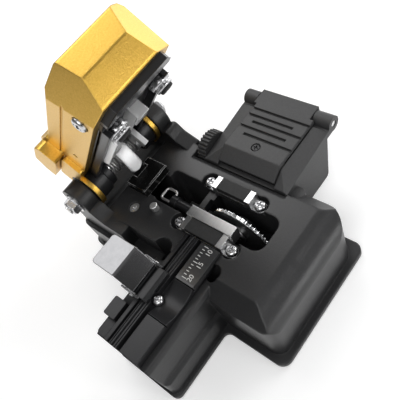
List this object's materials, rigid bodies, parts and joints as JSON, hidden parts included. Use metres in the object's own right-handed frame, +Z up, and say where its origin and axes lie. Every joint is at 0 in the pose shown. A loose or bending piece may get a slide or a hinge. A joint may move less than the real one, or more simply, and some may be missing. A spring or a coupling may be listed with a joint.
{
  "type": "fibre cleaver",
  "caption": "Bench cleaver for optical fibre: sprung lever over a sliding round blade, V-groove arm with clamp, and a lidded scrap bin with feed rollers.",
  "frame": {"origin": "the centre of the bottom of the part's own box, on the table", "axes": "+X along the fibre towards the scrap bin, +Y from the user towards the lever's hinge, +Z up"},
  "size_m": [0.0886, 0.088, 0.0841],
  "materials": {
    "gold_anodised": "satin gold anodised",
    "black_casting": "fine satin black coat",
    "black_anodised": "satin black anodised",
    "dark_plastic": "matte dark grey moulding",
    "ground_steel": "ground",
    "bright_chrome": "polished",
    "screw_steel": "bright plated",
    "black_rubber": "matte",
    "scale_black": "glossy, white marks",
    "wire_steel": "drawn"
  },
  "bodies": {
    "body": {"body_casting": "black_casting", "bottom_cover": "black_anodised", "rubber_feet": "black_rubber", "cover_screws": "screw_steel", "lower_pad_holder_left": "ground_steel", "lower_pad_left": "black_rubber", "lower_pad_holder_right": "ground_steel", "lower_pad_right": "black_rubber", "pad_screws": "screw_steel", "fibre_plate": "black_anodised", "rest_block": "black_anodised", "scale_strip": "scale_black", "plate_screw": "screw_steel", "clamp_bracket": "black_anodised", "clamp_pin": "ground_steel", "hinge_shaft": "ground_steel", "shaft_washers": "screw_steel", "left_shaft_nut": "screw_steel", "right_shaft_nut": "screw_steel", "hinge_block": "black_anodised", "locating_pin": "ground_steel", "set_screw": "screw_steel", "carriage_rail": "ground_steel", "torsion_springs": "wire_steel", "scrap_bin": "dark_plastic", "lid_pin": "ground_steel"},
    "lever": {"lever_cover": "gold_anodised", "lever_screws": "screw_steel", "pressure_plate": "black_anodised", "knuckle_bushes": "black_anodised", "adjust_bracket": "ground_steel", "bent_wire": "wire_steel", "anvil": "ground_steel", "guide_plate": "ground_steel", "reset_tongue": "bright_chrome", "trip_bar": "ground_steel"},
    "left_clamp": {"plunger_left": "screw_steel", "plunger_tip_left": "black_rubber"},
    "right_clamp": {"plunger_right": "screw_steel", "plunger_tip_right": "black_rubber"},
    "fibre_clamp": {"clamp_flap": "bright_chrome", "clamp_bar": "black_anodised"},
    "blade_carriage": {"carriage": "black_anodised", "blade_axle": "ground_steel", "axle_screw": "screw_steel", "drag_rod": "black_anodised", "hook_wire": "wire_steel"},
    "blade": {"blade_disc": "ground_steel", "ratchet_wheel": "bright_chrome"},
    "lid": {"bin_lid": "dark_plastic", "lid_screw": "screw_steel", "idle_axle": "ground_steel"},
    "pressing_roller": {"idle_roller": "black_rubber"},
    "feed_roller": {"drive_roller": "black_rubber", "roller_axle": "ground_steel", "roller_knob": "dark_plastic"}
  },
  "joints": [
    {"name": "lever_hinge", "type": "hinge", "parent": "body", "child": "lever", "pos_m": [0.00205, 0.02967, 0.028], "axis": [1, 0, 0], "range_deg": [0, 50], "stiffness_Nm_per_rad": 0.03, "springref_deg": -68.75},
    {"name": "left_clamp_slide", "type": "slide", "parent": "lever", "child": "left_clamp", "axis": [0, 0.7431, 0.6691], "range_m": [0, 0.001], "stiffness_N_per_m": 400, "springref_m": -0.002},
    {"name": "right_clamp_slide", "type": "slide", "parent": "lever", "child": "right_clamp", "axis": [0, 0.7431, 0.6691], "range_m": [0, 0.001], "stiffness_N_per_m": 400, "springref_m": -0.002},
    {"name": "fibre_clamp_hinge", "type": "hinge", "parent": "body", "child": "fibre_clamp", "pos_m": [-0.0247, -0.00613, 0.0249], "axis": [-1, 0, 0], "range_deg": [0, 25], "stiffness_Nm_per_rad": 0.02, "springref_deg": -28.65},
    {"name": "carriage_slide", "type": "slide", "parent": "body", "child": "blade_carriage", "axis": [0, 1, 0], "range_m": [0, 0.013]},
    {"name": "blade_spin", "type": "hinge", "parent": "blade_carriage", "child": "blade", "pos_m": [0.00295, -0.01503, 0.0137], "axis": [1, 0, 0], "continuous": true},
    {"name": "lid_hinge", "type": "hinge", "parent": "body", "child": "lid", "pos_m": [0.04185, -0.00983, 0.024], "axis": [0, 1, 0], "range_deg": [0, 110]},
    {"name": "roller_spin", "type": "hinge", "parent": "body", "child": "feed_roller", "pos_m": [0.02255, -0.00983, 0.0192], "axis": [0, 1, 0], "continuous": true},
    {"name": "pressing_roller_spin", "type": "hinge", "parent": "lid", "child": "pressing_roller", "pos_m": [0.02255, -0.00983, 0.02335], "axis": [0, 1, 0], "continuous": true}
  ],
  "couplings": [
    {"joint": "carriage_slide", "follows": "lever_hinge", "m_per_rad": 0.014897},
    {"joint": "pressing_roller_spin", "follows": "roller_spin", "ratio": -2.4545}
  ]
}
